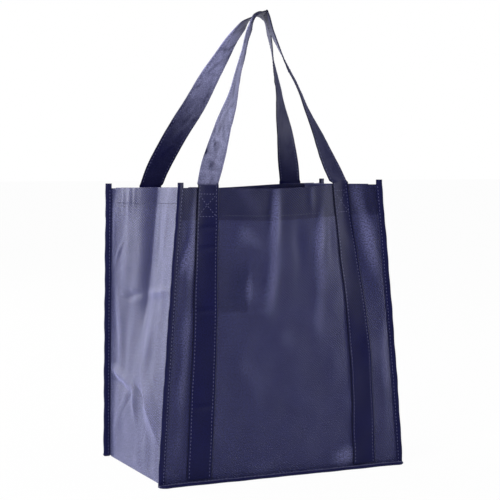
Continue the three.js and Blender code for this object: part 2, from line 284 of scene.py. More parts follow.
def add_creases(relief, x, z, random, count, area, angle_of, reach, width, depth):
    """Adds short creases, up or down, at random over an area between two of its corners."""
    for _ in range(count):
        middle = random.uniform(*area)
        angle = angle_of(random)
        half = random.uniform(*reach) * np.array([math.cos(angle), math.sin(angle)])
        height = random.uniform(*depth) * random.choice([-1, 1])
        relief = relief + crease(x, z, middle - half, middle + half, width, height)
    return relief


def crumple(x, z, seed, size):
    """The slight unevenness of handled cloth: slow waves, and short creases in all directions."""
    random = np.random.default_rng(seed)
    relief = 0
    for _ in range(14):
        angle, phase = random.uniform(0, math.tau, 2)
        length = random.uniform(22, 60)
        travel = (x * math.cos(angle) + z * math.sin(angle) * 0.6) * math.tau / length
        relief = relief + 0.0035 * length * np.sin(travel + phase)
    return add_creases(relief, x, z, random, 26, ((0, 0), size), any_way, (9, 26), 4.5, (0.2, 0.5))


def relief_map(folds, width, height):
    """The heights of a sheet's folds, worked out once on a fine grid."""
    x = np.arange(0, width + MAP_STEP, MAP_STEP)
    z = np.arange(0, height + MAP_STEP, MAP_STEP)
    return folds(*np.meshgrid(x, z))


def look_up(relief, x, z):
    """Heights from a relief map, between its grid points."""
    x, z = np.broadcast_arrays(np.asarray(x, float), z)
    column = np.clip(x / MAP_STEP, 0, relief.shape[1] - 1.001)
    row = np.clip(z / MAP_STEP, 0, relief.shape[0] - 1.001)
    i, j = row.astype(int), column.astype(int)
    lower = lerp(relief[i, j], relief[i, j + 1], column - j)
    upper = lerp(relief[i + 1, j], relief[i + 1, j + 1], column - j)
    return lerp(lower, upper, row - i)


# Folds of each wall, outward, by distance from its left or front seam and height: what they are
# like, where they start and end, their width and their height. A groove's height is negative.
FRONT["folds"] = [
    (ridge, (141, 358), (136, 268), 7, 3.7),
    (ridge, (137, 300), (127, 180), 9, 2.4),
    (ridge, (197, 358), (195, 304), 5, 1.6),
    (ridge, (213, 326), (199, 240), 7, 3.4),
    (ridge, (206, 262), (193, 150), 9, 1.8),
    (ridge, (171, 330), (176, 225), 9, -2.2),
    (ridge, (232, 320), (226, 240), 7, -1.4),
    (ridge, (78, 312), (122, 262), 12, 1.8),
    (ridge, (80, 192), (82, 270), 13, -1.8),
    (ridge, (20, 356), (15, 200), 6, 2.8),
    (ridge, (16, 236), (13, 30), 6, 1.8),
    (crease, (0, 232), (17, 288), 7, 2.2),
    (ridge, (282, 362), (298, 205), 7, 3.0),
    (ridge, (299, 230), (294, 30), 7, 1.4),
    (crease, (50, 199), (128, 196), 5, 1.1),
    (crease, (99, 188), (99, 266), 6, 1.3),
    (crease, (-3, 29), (24, 6), 5, -1.8),
    (ridge, (205, 6), (252, 22), 12, 2.2),
    *[(crease, (22, height), (62, height + 2), 4, 1.7) for height in (296, 272, 200, 88)],
]
BACK["folds"] = [
    (ridge, (90, 356), (104, 205), 9, 2.8),
    (ridge, (170, 356), (158, 225), 8, 2.4),
    (ridge, (212, 330), (204, 220), 9, -1.8),
    (ridge, (24, 352), (18, 90), 7, 2.6),
    (ridge, (286, 352), (290, 120), 6, 2.4),
    (crease, (70, 172), (235, 170), 6, 1.1),
    (crease, (152, 60), (153, 230), 6, 0.9),
    (crease, (4, 40), (38, 14), 6, 1.4),
]
LEFT_GUSSET["folds"] = [
    (crease, (94, 130), (16, 34), 22, 5.5),
    (crease, (210, 119), (100, 98), 12, 4.4),
    (crease, (196, 106), (104, 90), 9, -2.6),
    (crease, (116, 109), (60, 83), 8, -3.4),
    (crease, (100, 102), (174, 38), 10, -4.2),
    (crease, (110, 96), (184, 28), 12, 4.4),
    (crease, (106, 112), (98, 50), 12, 2.2),
    (ridge, (178, 235), (150, 104), 9, 2.2),
    (crease, (184, 244), (156, 282), 6, 2.4),
    (ridge, (158, 358), (161, 300), 4, 1.3),
    (ridge, (141, 358), (145, 300), 4, 1.0),
    (ridge, (129, 358), (131, 305), 3, 0.8),
    (ridge, (46, 356), (60, 245), 8, 1.6),
    (ridge, (72, 340), (78, 230), 6, -1.2),
    (ridge, (184, 335), (186, 245), 4, 2.0),
    (crease, (14, 224), (112, 215), 9, 3.0),
    (crease, (100, 217), (158, 204), 8, -2.2),
    (ridge, (66, 200), (84, 120), 12, 1.6),
]
RIGHT_GUSSET["folds"] = [
    (crease, (BAG_DEPTH / 2, 96), (8, 8), 12, 3.2),
    (crease, (BAG_DEPTH / 2, 96), (BAG_DEPTH - 8, 8), 12, 3.2),
    (crease, (12, 98), (BAG_DEPTH - 12, 96), 9, 2.2),
    (ridge, (52, 330), (48, 210), 7, 2.2),
    (ridge, (140, 340), (146, 190), 7, 2.0),
]


def wall_relief(side, width):
    """The folds of a wall on the unevenness of its cloth."""

    def heights(x, z):
        relief = crumple(x, z, side["seed"], (width, BAG_HEIGHT))
        for kind, start, end, reach, height in side["folds"]:
            relief += kind(x, z, start, end, reach, height)
        return relief

    return relief_map(heights, width, BAG_HEIGHT)


for wall in (FRONT, BACK):
    wall["relief"] = wall_relief(wall, BAG_WIDTH)
for wall in (LEFT_GUSSET, RIGHT_GUSSET):
    wall["relief"] = wall_relief(wall, BAG_DEPTH)


def strap_relief(seed):
    """Bends of one strap near the mouth, and its pleats, mostly along it."""
    random = np.random.default_rng(seed)
    loop = ((0, BAG_HEIGHT), (STRAP_WIDTH, STRAP_LENGTH - BAG_HEIGHT))

    def heights(x, z):
        relief = 0
        for bend in (15, 32, 58):
            for place in (BAG_HEIGHT + bend, STRAP_LENGTH - BAG_HEIGHT - bend):
                relief = relief + crease(x, z, (-12, place - 2), (43, place + 3), 4, 0.45)
        return add_creases(relief, x, z, random, 240, loop, lengthwise, (5, 20), 2.6, (0.2, 0.65))

    return relief_map(heights, STRAP_WIDTH, STRAP_LENGTH)


def fold_highlight(side, width, shares, rises, strength=1):
    """How much painted highlight each point of a wall gets where it stands out on a fold, from 0 to 1."""
    highlight = [look_up(side["relief"], shares * width, rise * BAG_HEIGHT) for rise in rises]
    return strength * smoothstep(np.array(highlight), 0.2, 3)


def darker_patch(panel, shares, rises):
    """A darker, duller patch on a panel, crisp below and at its right, from 0 to 1."""
    left, right, low, high = panel["dulled"]
    x = shares[None, :] * BAG_WIDTH
    z = rises[:, None] * BAG_HEIGHT
    upright = smoothstep(x, left - 3, left + 3) * (1 - smoothstep(x, right - 1.5, right + 1.5))
    return 0.6 * upright * smoothstep(z, low - 1.5, low + 1.5) * (1 - smoothstep(z, high - 15, high + 30))


def clear_of_seams(across, rise, fade):
    """How open the cloth lies, from 0 at the seams of the sides and the foot to 1 away from them."""
    return smoothstep(across, 0, fade) * smoothstep(1 - across, 0, fade) * smoothstep(rise, 0, 0.03)


def panel_point(panel, across, rise):
    """The middle surface of a panel's cloth, by shares across and up."""
    left = seam_point(panel["left"], rise)
    right = seam_point(panel["right"], rise)
    rightward = unit((right - left) * (1, 1, 0))
    inward = np.cross(rightward, UP) * panel["face"]
    mouth = smoothstep(rise, 0.35, 1)
    pull = 0
    draw = 0
    for start, peak, end, depth, sideways in panel["pulls"]:
        strength = mouth * crest(across, start, peak, end)
        pull = pull + depth * strength
        draw = draw + sideways * strength
    belly = PANEL_BELLY * math.sin(math.pi * rise) * hump(across, 0.6, 0.6)
    ripples = RIPPLE_HEIGHT * rise**5 * np.sin(across * 2 * RIPPLES * math.pi) * hump(across, 0.5, 0.32)
    relief = look_up(panel["relief"], across * BAG_WIDTH, rise * BAG_HEIGHT)
    folds = clear_of_seams(across, rise, 0.03) * relief
    inset = pull - belly + ripples - folds - LAYER_PITCH / 2
    point = lerp(left, right, across[:, None]) + draw[:, None] * rightward + inset[:, None] * inward
    point[:, 2] -= RIM_DIP * mouth * hump(across, 0.45, 0.45)
    return point


def gusset_point(gusset, across, rise):
    """The middle surface of a gusset's cloth, by shares from front to back and up."""
    front, back = (seam_layer(corner, rise, 0, 1) for corner in gusset["corners"])
    chord = (back - front) * (1, 1, 0)
    half_chord = np.linalg.norm(chord) / 2
    inward = np.cross(unit(chord), UP) * -gusset["side"]
    height = rise * BAG_HEIGHT
    crease_foot = BAG_DEPTH / 2
    ramp = smoothstep(height, crease_foot * 0.6, BAG_HEIGHT * 0.75)
    slack = math.sqrt(max((BAG_DEPTH / 2) ** 2 - half_chord**2, 0))
    ridge_line = lerp(*gusset["line"], min(max(height / BAG_HEIGHT * 1.4 - 0.4, 0), 1))
    toward = np.where(across < ridge_line, across / ridge_line, (1 - across) / (1 - ridge_line))
    toward = np.clip(toward, 0, 1)
    roll = gusset["roll"] * smoothstep(height, 150, 235) * (across > ridge_line)
    tent = lerp(toward, toward**6, roll)
    belly = GUSSET_BELLY * tent * min(max(1 - abs(height / crease_foot - 1), 0), 1)
    folds = clear_of_seams(across, rise, 0.05) * look_up(gusset["relief"], across * BAG_DEPTH, height)
    inset = gusset["crease"] * slack * ramp * tent - belly - folds
    return lerp(front, back, across[:, None]) + inset[:, None] * inward


def beside(point_of, wall, across, rise, distance):
    """Points beside a wall's middle surface, a distance out along its normal."""
    step = 0.004
    low = min(rise, 1 - step)
    along_width = point_of(wall, across + step, rise) - point_of(wall, across - step, rise)
    along_height = point_of(wall, across, low + step) - point_of(wall, across, low - step)
    normal = unit(np.cross(along_width, along_height))
    normal *= np.sign(normal @ wall["outward"])[:, None]
    return point_of(wall, across, rise) + normal * distance


def cells_around(cells):
    """The four cells round each point of a grid, with nothing beyond its edges."""
    padded = np.pad(cells, [(1, 1), (1, 1)] + [(0, 0)] * (cells.ndim - 2))
    return np.stack([padded[1:, 1:], padded[:-1, 1:], padded[1:, :-1], padded[:-1, :-1]])


def sheet_of(grid, thickness, cloth=None):
    """Both faces of a closed sheet around a grid of points on its middle surface."""
    grid = np.array(grid, float)
    rows, columns = grid.shape[:2]
    if cloth is None:
        cloth = np.ones((rows - 1, columns - 1), bool)
    along = grid[1:, 1:] - grid[:-1, :-1]
    across = grid[1:, :-1] - grid[:-1, 1:]
    facing = cells_around(unit(np.cross(along, across) + 1e-12) * cloth[:, :, None])
    count = cells_around(cloth.astype(float)).sum(axis=0)
    total = facing.sum(axis=0)
    normal = total / np.maximum(np.linalg.norm(total, axis=-1, keepdims=True), 1e-9)
    spread = (facing * normal).sum(axis=(0, 3)) / np.maximum(count, 1)
    half = np.broadcast_to(thickness, (rows, columns)) / 2 / np.maximum(spread, MITRE_LIMIT)
    offset = normal * half[:, :, None]
    return {"middle": grid, "top": grid + offset, "bottom": grid - offset, "normal": normal, "cloth": cloth}


def sheet_faces(cloth):
    """Quads of a closed sheet: its top, its bottom and the walls along its edges."""
    rows, columns = cloth.shape[0] + 1, cloth.shape[1] + 1
    index = np.arange(rows * columns).reshape(rows, columns)
    a, b, c, d = index[:-1, :-1], index[:-1, 1:], index[1:, 1:], index[1:, :-1]
    below = rows * columns
    faces = [np.stack([a, b, c, d], -1)[cloth], np.stack([d, c, b, a], -1)[cloth] + below]
    padded = np.pad(cloth, 1)
    edges = [
        (a, b, padded[:-2, 1:-1]),
        (b, c, padded[1:-1, 2:]),
        (c, d, padded[2:, 1:-1]),
        (d, a, padded[1:-1, :-2]),
    ]
    for start, end, beyond in edges:
        bare = cloth & ~beyond
        faces.append(np.stack([end, start, start + below, end + below], -1)[bare])
    return np.concatenate(faces)


def make_piece(name, points, faces, material, corners=None, masks=None):
    """A mesh object in metres, with its cloth coordinates and its masks, riding on the bag."""
    used = np.unique(faces)
    renumber = np.zeros(len(points), int)
    renumber[used] = np.arange(len(used))
    faces = renumber[faces]
    mesh = bpy.data.meshes.new(name)
    mesh.from_pydata((points[used] / METRE).tolist(), [], faces.tolist())
    if corners is not None:
        layer = mesh.uv_layers.new(name="Cloth")
        layer.uv.foreach_set("vector", corners[used][faces.ravel()].astype(np.float32).ravel() / METRE)
    for mask_name, values in (masks or {}).items():
        attribute = mesh.attributes.new(mask_name, "FLOAT", "POINT")
        attribute.data.foreach_set("value", values[used].astype(np.float32))
    mesh.polygons.foreach_set("use_smooth", [True] * len(faces))
    mesh.set_sharp_from_angle(angle=SHARP_FOLD)
    mesh.materials.append(material)
    piece = bpy.data.objects.new(name, mesh)
    bpy.context.scene.collection.objects.link(piece)
    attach(piece, "root")
    return piece


def travel_along(line):
    """How far along a line each of its points lies."""
    return np.concatenate([[0], np.cumsum(np.linalg.norm(np.diff(line, axis=0), axis=1))])


def sheet_piece(name, sheet, material, darker_and_shade=0, highlight=0):
    """A sheet as a piece. The two masks are how far each point is darkened, for hems, the darker patch and
    the painted shade of strap edges, and how much painted highlight it gets.
    """
    middle = sheet["middle"]
    rows, columns = middle.shape[:2]
    u = travel_along(middle[rows // 2])
    v = travel_along(middle[:, columns // 2])
    corners = np.stack(np.broadcast_arrays(u[None, :], v[:, None]), -1).reshape(-1, 2)
    points = np.concatenate([sheet["top"].reshape(-1, 3), sheet["bottom"].reshape(-1, 3)])
    masks = {}
    for mask_name, values in (("DarkerAndShade", darker_and_shade), ("Highlight", highlight)):
        masks[mask_name] = np.tile(np.broadcast_to(values, (rows, columns)).ravel(), 2).astype(float)
    return make_piece(name, points, sheet_faces(sheet["cloth"]), material, np.tile(corners, (2, 1)), masks)


def stitch_faces(rings, sides):
    """Faces of one stitch: its rings joined by quads, and two quads over each end."""
    last = (rings - 1) * sides
    faces = []
    for ring in range(0, last, sides):
        for k in range(sides):
            a, b = ring + k, ring + (k + 1) % sides
            faces.append([a, b, b + sides, a + sides])
    faces += [[0, 5, 4, 3], [0, 3, 2, 1]]
    faces += [[last, last + 1, last + 2, last + 3], [last, last + 3, last + 4, last + 5]]
    return np.array(faces)


def stitches(name, lines, material):
    """Rows of thread on cloth. Each line is points on the surface and their outward normals."""
    sides = 6
    ring = np.linspace(0, 2 * math.pi, sides, endpoint=False)
    # Places along a stitch, with how far it stands out there and how wide it is
    profile = [(0, -0.5, 0.35), (0.14, 0.25, 0.9), (0.5, 0.55, 1), (0.86, 0.25, 0.9), (1, -0.5, 0.35)]
    steps = np.array([step for step, _, _ in profile])
    one_stitch = stitch_faces(len(profile), sides)
    points, faces = [], []
    for line, normals in lines:
        travel = travel_along(line)
        for start in np.arange(STITCH_PITCH / 2, travel[-1] - STITCH_LENGTH, STITCH_PITCH):
            faces.append(one_stitch + len(points) * sides)
            places = start + STITCH_LENGTH * steps
            centres = np.stack([np.interp(places, travel, line[:, k]) for k in range(3)], -1)
            out = unit(np.stack([np.interp(places, travel, normals[:, k]) for k in range(3)], -1))
            direction = unit(centres[-1] - centres[0])
            for centre, normal, (_, lift, width) in zip(centres, out, profile):
                sideways = unit(np.cross(direction, normal))
                circle = np.cos(ring)[:, None] * sideways + np.sin(ring)[:, None] * normal
                points.append(centre + normal * lift * THREAD + circle * (THREAD / 2 * width))
    return make_piece(name, np.concatenate(points), np.concatenate(faces), material)


def hem_rows(depth):
    """Rows of a folded hem, as distances inward and up from the rim."""
    radius = LAYER_PITCH / 2
    rows = [
        (radius * (1 - math.cos(angle)), radius * math.sin(angle))
        for angle in np.radians([30, 60, 90, 120, 150, 180])
    ]
    return rows + [(LAYER_PITCH, lift) for lift in spaced(0, -depth, CELL)[1:]]


def with_ends(steps, inset, width):
    """Shares across a sheet, closer together beside its seams."""
    steps = np.array(steps, float)
    return np.concatenate([steps, spaced(inset, width - inset, CELL), width - steps[::-1]]) / width


def rises_of(hem):
    """Heights of the rows of an upright sheet, as shares, with close rows at the hem's edge."""
    edge = BAG_HEIGHT - hem
    below = spaced(0, edge - 1, CELL)[1:]
    above = spaced(edge + 1, BAG_HEIGHT, CELL)
    return np.concatenate([below, [edge - 0.3, edge + 0.3], above]) / BAG_HEIGHT


def hem_grid(point_of, wall, across, depth):
    """Rows of a wall's hem: over the rim and down inside."""
    rows = []
    for inward, lift in hem_rows(depth):
        row = beside(point_of, wall, across, 1 + min(lift, 0) / BAG_HEIGHT, -inward)
        rows.append(row + UP * max(lift, 0))
    return rows


def hemmed(rises, hem):
    """1 for each row of a wall that its hem doubles, and 0 below."""
    return [float(rise * BAG_HEIGHT > BAG_HEIGHT - hem) for rise in rises]


def edged(edges, row):
    """A row with the first and the last of its edges at its ends."""
    return np.concatenate([edges[:1], row, edges[-1:]])


def hemmed_cells(rows, shares, width, *hems):
    """Which cells of a sheet's grid are cloth: its hems stay clear of the seams at their ends."""
    clear = HEM_INSET / width - 1e-6
    cloth = np.ones((rows - 1, len(shares) - 1), bool)
    for hem in hems:
        cloth[hem] = (shares[:-1] > clear) & (shares[1:] < 1 - clear)
    return cloth


def panel_sheet(panel):
    """A panel: flange edges at its sides and foot, the wall, and the hem turned down inside."""
    shares = with_ends([0, CORNER_RUN / 4, CORNER_RUN / 2, CORNER_RUN], HEM_INSET, BAG_WIDTH)
    with_flanges = np.concatenate([[0], shares, [1]])

    def wall_row(rise):
        left = [seam_layer(panel["left"], rise, reach, -1) for reach in (SEAM_ALLOWANCE, 0)]
        right = [seam_layer(panel["right"], rise, reach, -1) for reach in (0, SEAM_ALLOWANCE)]
        return np.concatenate([left, panel_point(panel, shares[1:-1], rise), right])

    seam_row = wall_row(0) + UP * LAYER_PITCH / 2
    near_seam = np.minimum(shares, 1 - shares) * BAG_WIDTH / CORNER_RUN
    angle = lerp(FOOT_START_TURN, math.pi / 2, np.clip(near_seam, 0, 1))
    side = np.where(shares < 0.5, -1, 1)
    turn = np.stack([side * np.cos(angle), panel["face"] * np.sin(angle), angle * 0], -1)
    seams = ((panel["left"], seam_row[1]), (panel["right"], seam_row[-2]))
    tips = [seam + heading(corner, FOOT_TIP_TURN) * SEAM_ALLOWANCE for corner, seam in seams]
    foot_row = edged(tips, seam_row[1:-1] + turn * SEAM_ALLOWANCE)
    rises = rises_of(PANEL_HEM)
    hem = hem_grid(panel_point, panel, with_flanges, PANEL_HEM)
    grid = [foot_row, seam_row, *[wall_row(rise) for rise in rises], *hem]
    cloth = hemmed_cells(len(grid), with_flanges, BAG_WIDTH, slice(-len(hem), None))
    walls = slice(2, 2 + len(rises))
    darkened = np.array([0, 0, *hemmed(rises, PANEL_HEM), *[1] * len(hem)], float)
    darker_and_shade = np.repeat(darkened[:, None], len(with_flanges), axis=1)
    darker_and_shade[walls, 1:-1] = np.maximum(darker_and_shade[walls, 1:-1], darker_patch(panel, shares, rises))
    # Painted highlight where the wall's folds stand out
    highlight = np.zeros((len(grid), len(with_flanges)))
    highlight[walls, 1:-1] = fold_highlight(panel, BAG_WIDTH, shares, rises)
    return sheet_of(grid, CLOTH, cloth), darker_and_shade, highlight


def base_height(y):
    """Height of the base cloth's middle: on the floor, and climbing to the seams."""
    from_seam = BAG_DEPTH / 2 - np.abs(y)
    return lerp(CLOTH / 2, CLOTH / 2 + LAYER_PITCH, 1 - smoothstep(from_seam, 0, BASE_CLIMB))


def gusset_strip_sheet():
    """Left gusset, base and right gusset, cut as one strip and hemmed at both ends."""
    shares = with_ends([0, BASE_CLIMB / 2, BASE_CLIMB], HEM_INSET, BAG_DEPTH)
    with_flanges = np.concatenate([[0], shares, [1]])

    def wall_row(gusset, rise):
        ends = [seam_layer(corner, rise, SEAM_ALLOWANCE, 1) for corner in gusset["corners"]]
        return edged(ends, gusset_point(gusset, shares, rise))

    def base_row(x, flange_edges):
        edge = BAG_DEPTH / 2 - LAYER_PITCH / 2
        y = lerp(-edge, edge, shares)
        return edged(flange_edges, np.stack([np.full_like(y, x), y, base_height(y)], -1))

    def turned_row(x, angle):
        reach = BAG_DEPTH / 2 + math.sin(angle) * SEAM_ALLOWANCE
        edge_x = x + math.copysign(math.cos(angle) * SEAM_ALLOWANCE, x)
        height = SEAM_HEIGHT - LAYER_PITCH / 2
        return base_row(x, np.array([[edge_x, -reach, height], [edge_x, reach, height]]))

    def corner_rows(gusset):
        half = BAG_WIDTH / 2
        side = gusset["side"]
        ends = [seam_layer(corner, 0, SEAM_ALLOWANCE, 1) for corner in gusset["corners"]]
        return [
            base_row(side * half, np.array(ends) - UP * LAYER_PITCH / 2),
            turned_row(side * (half - CORNER_RUN / 4), BASE_CORNER_TURN),
            turned_row(side * (half - CORNER_RUN), math.pi / 2),
        ]

    downward = rises_of(GUSSET_HEM)[::-1]

    def end_rows(gusset):
        """One end of the strip, from the inner edge of its hem to the base."""
        hem = [edged(row, row) for row in hem_grid(gusset_point, gusset, shares, GUSSET_HEM)]
        return [*hem[::-1], *[wall_row(gusset, rise) for rise in downward], *corner_rows(gusset)]

    base_span = BAG_WIDTH / 2 - CORNER_RUN
    base = [turned_row(x, math.pi / 2) for x in spaced(-base_span, base_span, CELL * 3)[1:-1]]
    grid = [*end_rows(LEFT_GUSSET), *base, *end_rows(RIGHT_GUSSET)[::-1]]
    in_hem = len(hem_rows(GUSSET_HEM))
    cloth = hemmed_cells(len(grid), with_flanges, BAG_DEPTH, slice(in_hem), slice(-in_hem, None))
    darkened = [*[1] * in_hem, *hemmed(downward, GUSSET_HEM)]
    darker_and_shade = np.array([*darkened, *[0] * (len(grid) - 2 * len(darkened)), *darkened[::-1]])
    # Painted highlight where the gussets' folds stand out, fainter than on the panels
    highlight = np.zeros((len(grid), len(with_flanges)))
    wall = slice(in_hem, len(darkened))
    for gusset, from_its_end in ((LEFT_GUSSET, highlight), (RIGHT_GUSSET, highlight[::-1])):
        from_its_end[wall, 1:-1] = fold_highlight(gusset, BAG_DEPTH, shares, downward, GUSSET_HIGHLIGHT)
    return sheet_of(grid, CLOTH, cloth), GUSSET_LINED * darker_and_shade[:, None], highlight


def binding_sheet(panel):
    """The tape of one face: folded round the flange, up one side, along the foot, up the other.

    It sways a little along its length, as sewn tape does.
    """
    side = np.array([(BINDING_START, 0), (2.4, 0), (3.1, -0.16), (3.8, 0), (5.4, 0.06)])
    fold = np.radians([-90, -60, -30, 0, 30, 60, 90])
    reaches = np.concatenate([side[:, 0], SEAM_ALLOWANCE + BINDING_FOLD * np.cos(fold), side[::-1, 0]])
    offsets = np.concatenate([
        -BINDING_FOLD - side[:, 1],
        BINDING_FOLD * np.sin(fold),
        BINDING_FOLD + side[::-1, 1],
    ])

    def row(seam, out, gusset_ward):
        return seam + reaches[:, None] * out + offsets[:, None] * gusset_ward

    def upright(corner):
        top = seam_point(corner, 1)
        horn = [row(top + UP * lift, *flange_frame(corner, 1)) for lift in (HORN_HEIGHT, HORN_HEIGHT / 2)]
        downward = rises_of(PANEL_HEM)[::-1]
        return horn + [row(seam_point(corner, rise), *flange_frame(corner, rise)) for rise in downward]

    def corner_fan(corner):
        out, gusset_ward = flange_frame(corner, 0)
        seam = seam_point(corner, 0)
        centre = seam + np.array([0, corner["face"] * BINDING_FOLD, 0])
        turns = np.linspace(FLANGE_TURN_AT_BASE, math.pi / 2, 9)[1:]
        fan = [row(centre, heading(corner, turn), -UP) for turn in turns]
        return [row(seam, out, gusset_ward - UP), *fan]

    left, right = seam_point(panel["left"], 0), seam_point(panel["right"], 0)
    foot_shares = spaced(0, 1, BINDING_STEP / BAG_WIDTH)[2:-2]
    grid = np.array([
        *upright(panel["left"]),
        *corner_fan(panel["left"]),
        *[row(lerp(left, right, share), panel["outward"], -UP) for share in foot_shares],
        *corner_fan(panel["right"])[::-1],
        *upright(panel["right"])[::-1],
    ])
    place = np.arange(len(grid))
    reach = (reaches - BINDING_START) / SEAM_ALLOWANCE
    toward = unit(grid[:, 0] - grid[:, -1])
    outward = unit(grid[:, len(reaches) // 2] - (grid[:, 0] + grid[:, -1]) / 2)
    sway = 0.12 * np.sin(place * 0.62) + 0.06 * np.sin(place * 0.21 + 2)
    spread = 0.4 + 0.2 * np.sin(place * 0.47) + 0.2 * np.sin(place * 0.17 + 1)
    shift = sway[:, None] * toward + spread[:, None] * outward
    grid += reach[None, :, None] * shift[:, None, :]
    grid[:, :, 2] = np.maximum(grid[:, :, 2], CLOTH / 2)
    return sheet_of(grid, CLOTH)


def smooth_curve(points, count):
    """A centripetal curve through points: its places and directions."""
    points = np.array(points, float)
    ends = [2 * points[0] - points[1], 2 * points[-1] - points[-2]]
    padded = np.concatenate([ends[:1], points, ends[1:]])
    places, directions = [], []
    for share in np.linspace(0, 1, count + 1)[1:-1] * (len(points) - 1):
        index = min(int(share), len(points) - 2)
        p0, p1, p2, p3 = padded[index:index + 4]
        d0, d1, d2 = (np.linalg.norm(b - a) ** 0.5 for a, b in ((p0, p1), (p1, p2), (p2, p3)))
        start = ((p1 - p0) / d0 - (p2 - p0) / (d0 + d1) + (p2 - p1) / d1) * d1
        end = ((p2 - p1) / d1 - (p3 - p1) / (d1 + d2) + (p3 - p2) / d2) * d1
        t = share - index
        c2 = -3 * p1 + 3 * p2 - 2 * start - end
        c3 = 2 * p1 - 2 * p2 + start + end
        places.append(p1 + start * t + c2 * t**2 + c3 * t**3)
        directions.append(start + 2 * c2 * t + 3 * c3 * t**2)
    return np.array(places), unit(np.array(directions))


# Places across a strap from its middle, with its thickness there: sewn down beside each edge
STRAP_PROFILE = [
    (15.5, 0.5), (15.2, 1.1), (14.5, 1.4), (13.7, 1.35), (13.1, 1.2), (12.6, 1.0),
    (12.1, 1.2), (11.2, 1.4), (9.0, 1.35), (6.0, 1.3), (3.0, 1.3), (0.0, 1.3),
]
STRAP_PLACES, STRAP_DEPTHS = np.array(STRAP_PROFILE).T
STRAP_ACROSS = np.concatenate([-STRAP_PLACES, STRAP_PLACES[-2::-1]])
STRAP_DEEP = np.concatenate([STRAP_DEPTHS, STRAP_DEPTHS[-2::-1]])
STRAP_MIDDLE = len(STRAP_ACROSS) // 2
STRAP_STITCH = 5
STRAP_STITCH_SINK = 0.26
LOOP_STEPS = 260


def sewn_rows(panel, share):
    """Rows of a strap where it is sewn to a panel, from the foot's binding to just above the mouth."""
    foot_rise = (2 * BINDING_FOLD + LAYER_PITCH + LAYER_GAP) / BAG_HEIGHT
    rows = []
    for rise in spaced(foot_rise, 1, CELL / BAG_HEIGHT):
        across = share + STRAP_ACROSS / panel_width(panel, rise)
        rows.append(beside(panel_point, panel, across, rise, STRAP_OFFSET))
    return rows + [rows[-1] + UP * STRAP_STAND]


def loop_path(loop, feet, apex):
    """The middle line of a loop from foot to foot, as places and directions."""
    cross_axis = np.array([math.sin(APEX_TURN), -math.cos(APEX_TURN), 0])
    radius = loop["apex_radius"]
    climbs = np.array([0, 0.1, 0.25, 0.5, 0.75, 0.9, 1])
    legs = []
    for leg, foot, side in zip(loop["legs"], feet, (-1, 1)):
        end = apex + cross_axis * radius * side - UP * radius * APEX_DROP
        sideways = climbs ** leg["lean"] - leg["bow"] * hump(climbs, 0.87, 0.3)
        legs.append(lerp(foot, end, np.stack([sideways, climbs, climbs], -1)))
    return smooth_curve([*legs[0], apex, *legs[1][::-1]], LOOP_STEPS)


def loop_rows(panel, loop, starts):
    """Rows of a strap's loop between its two starts, and how much painted highlight its cloth gets there."""
    width_axis = np.array([math.cos(APEX_TURN), math.sin(APEX_TURN), 0])
    apex = np.array([APEX_LEAN, 0, BAG_HEIGHT + HANDLE_RISE])
    apex = apex + width_axis * panel["face"] * (STRAP_WIDTH / 2 + APEX_CLEARANCE)
    feet = [row[STRAP_MIDDLE] for row in starts]
    start_turn = [math.atan2(*(row[-1] - row[0])[1::-1]) for row in starts]
    places, directions = loop_path(loop, feet, apex)
    relief = strap_relief(loop["seed"])
    travel = BAG_HEIGHT
    rows, highlighted = [], []
    for number in range(1, len(places) - 1):
        centre, tangent = places[number], directions[number]
        index = 0 if number < len(places) / 2 else 1
        leg = loop["legs"][index]
        climb = min(max((centre[2] - feet[index][2]) / (apex[2] - feet[index][2]), 0), 1)
        turn = lerp(start_turn[index], LEG_TURN, smoothstep(climb, *leg["turn"]))
        turn = lerp(turn, APEX_TURN, smoothstep(climb, leg["twist"], 1))
        width = np.array([math.cos(turn), math.sin(turn), 0])
        width = unit(width - tangent * (width @ tangent) * smoothstep(climb, 0, 0.15))
        normal = unit(np.cross(tangent, width))
        travel += np.linalg.norm(centre - places[number - 1])
        pleats = look_up(relief, STRAP_ACROSS + STRAP_WIDTH / 2, travel)
        # Sag and pleats fade out toward the mouth and the apex
        free = hump(climb, 0.46, 0.46) ** 0.5
        sag = 0.5 * math.sin(climb * 23 + index)
        # A painted highlight on the cloth, lightest where its pleats stand out
        low, high, strength = leg["highlighted"]
        highlight_level = 0.03 + strength * smoothstep(climb, low, high) * (1 - smoothstep(climb, 0.86, 0.97))
        highlighted.append(highlight_level * np.clip(0.75 + 0.9 * pleats, 0, 1))
        rows.append(centre + STRAP_ACROSS[:, None] * width + normal * (free * (sag + pleats))[:, None])
    return rows, highlighted


def handle_sheet(panel, loop):
    """A flat strap up the panel, over in a tall loop, and down again."""
    left, right = (sewn_rows(panel, share) for share in STRAP_SHARES)
    rows, highlighted = loop_rows(panel, loop, (left[-1], right[-1]))
    plain = np.zeros((len(left), len(STRAP_ACROSS)))
    thickness = STRAP_THICKNESS * STRAP_DEEP / STRAP_DEEP.max()
    return sheet_of([*left, *rows, *right[::-1]], thickness), np.concatenate([plain, highlighted, plain]), len(left)


def strap_stitch_lines(sheet, panel, sewn):
    """Both rows of stitches of a strap: through its loop, and outside where it is on the panel."""
    left_outside, right_outside = ("top", "bottom") if panel["face"] < 0 else ("bottom", "top")
    lines = []
    for face, rows in ((left_outside, slice(0, -sewn)), (right_outside, slice(sewn, None))):
        normals = sheet["normal"] * (1 if face == "top" else -1)
        for column in (STRAP_STITCH, len(STRAP_ACROSS) - 1 - STRAP_STITCH):
            outward = normals[rows, column]
            lines.append((sheet[face][rows, column] - outward * STRAP_STITCH_SINK, outward))
    return lines


# Materials


def new_material(name):
    material = bpy.data.materials.new(name)
    material.use_nodes = True
    return material, material.node_tree, material.node_tree.nodes["Principled BSDF"]


